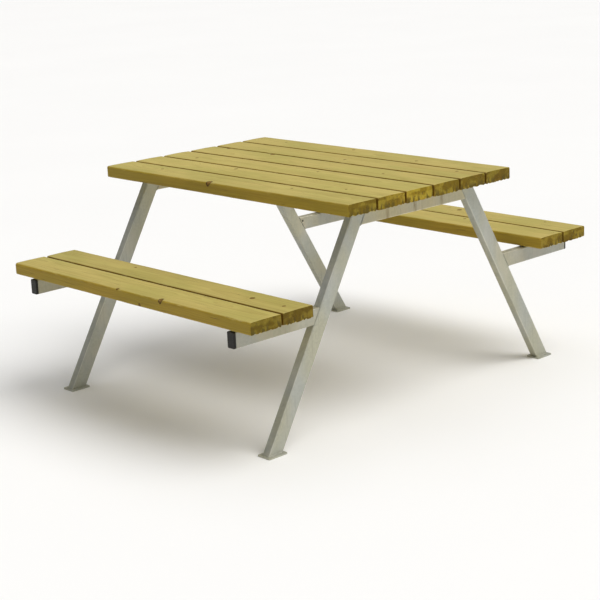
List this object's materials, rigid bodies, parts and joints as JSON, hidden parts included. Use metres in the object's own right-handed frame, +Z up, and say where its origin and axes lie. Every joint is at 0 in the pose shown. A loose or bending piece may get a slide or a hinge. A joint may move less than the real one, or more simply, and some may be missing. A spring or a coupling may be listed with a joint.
{
  "type": "picnic table",
  "caption": "Picnic table with attached benches: timber planks on two A-shaped end frames of galvanised rectangular steel tube, with foot plates and plastic tube end caps.",
  "frame": {"origin": "on the ground under the middle of the table", "axes": "+X along the planks, +Y from the front bench to the rear bench, +Z up"},
  "size_m": [1.2, 1.56, 0.73],
  "materials": {
    "timber": "planed pressure-treated softwood",
    "galvanised_steel": "hot-dip galvanised, matt",
    "black_plastic": "moulded, matt",
    "zinc_screws": "zinc plated"
  },
  "bodies": {
    "root": {"top_plank_1": "timber", "top_plank_2": "timber", "top_plank_3": "timber", "top_plank_4": "timber", "top_plank_5": "timber", "top_plank_6": "timber", "front_seat_plank_1": "timber", "front_seat_plank_2": "timber", "rear_seat_plank_1": "timber", "rear_seat_plank_2": "timber", "left_front_leg": "galvanised_steel", "left_front_seat_arm": "galvanised_steel", "left_rear_leg": "galvanised_steel", "left_rear_seat_arm": "galvanised_steel", "right_front_leg": "galvanised_steel", "right_front_seat_arm": "galvanised_steel", "right_rear_leg": "galvanised_steel", "right_rear_seat_arm": "galvanised_steel", "left_top_rail": "galvanised_steel", "right_top_rail": "galvanised_steel", "left_front_foot_plate": "galvanised_steel", "left_rear_foot_plate": "galvanised_steel", "right_front_foot_plate": "galvanised_steel", "right_rear_foot_plate": "galvanised_steel", "left_top_strap": "galvanised_steel", "right_top_strap": "galvanised_steel", "left_front_seat_strap": "galvanised_steel", "left_rear_seat_strap": "galvanised_steel", "right_front_seat_strap": "galvanised_steel", "right_rear_seat_strap": "galvanised_steel", "left_front_arm_cap": "black_plastic", "left_rear_arm_cap": "black_plastic", "right_front_arm_cap": "black_plastic", "right_rear_arm_cap": "black_plastic", "top_screws": "zinc_screws", "seat_screws": "zinc_screws"}
  },
  "joints": []
}
